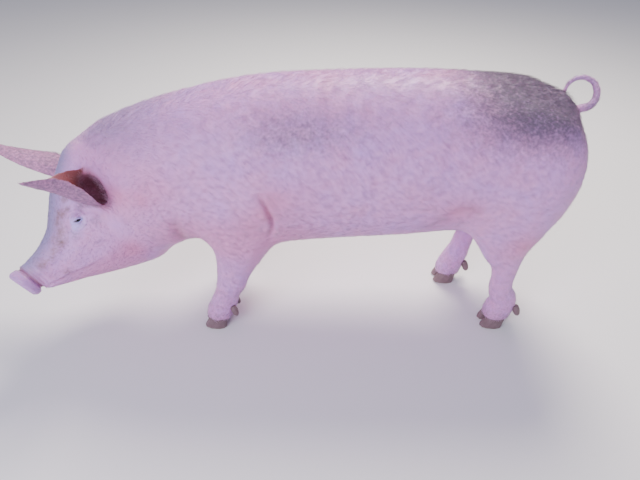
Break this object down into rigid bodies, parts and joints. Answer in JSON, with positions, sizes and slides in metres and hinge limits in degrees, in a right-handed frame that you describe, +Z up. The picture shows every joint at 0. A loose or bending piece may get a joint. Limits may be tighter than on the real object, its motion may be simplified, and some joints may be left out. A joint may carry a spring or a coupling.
{
  "type": "pig",
  "caption": "Young sow of a pink, short-bristled farm breed, standing with its head lowered and turned to its left, as a still display model.",
  "frame": {"origin": "on the floor, under the middle of the whole model's box", "axes": "+Z up, the sow faces -X and its left side is -Y"},
  "size_m": [1.429, 0.422, 0.6614],
  "materials": {
    "skin": "pink bristled pig skin, soft satin",
    "snout_skin": "bare, moist, finely wrinkled skin",
    "eye": "wet, glossy dark brown eye",
    "claw_horn": "dull grey-brown horn with growth rings"
  },
  "bodies": {
    "root": {"claw_front_left_inner": "claw_horn", "claw_front_left_outer": "claw_horn", "claw_front_right_inner": "claw_horn", "claw_front_right_outer": "claw_horn", "claw_hind_left_inner": "claw_horn", "claw_hind_left_outer": "claw_horn", "claw_hind_right_inner": "claw_horn", "claw_hind_right_outer": "claw_horn", "dewclaw_front_left_inner": "claw_horn", "dewclaw_front_left_outer": "claw_horn", "dewclaw_front_right_inner": "claw_horn", "dewclaw_front_right_outer": "claw_horn", "dewclaw_hind_left_inner": "claw_horn", "dewclaw_hind_left_outer": "claw_horn", "dewclaw_hind_right_inner": "claw_horn", "dewclaw_hind_right_outer": "claw_horn", "ear_left": "skin", "ear_right": "skin", "eye_left": "eye", "eye_right": "eye", "foreleg_left": "skin", "foreleg_right": "skin", "head": "skin", "lower_jaw": "skin", "neck": "skin", "shank_left": "skin", "shank_right": "skin", "shoulder_left": "skin", "shoulder_right": "skin", "snout": "snout_skin", "tail": "skin", "thigh_left": "skin", "thigh_right": "skin", "trunk": "skin"}
  },
  "joints": []
}
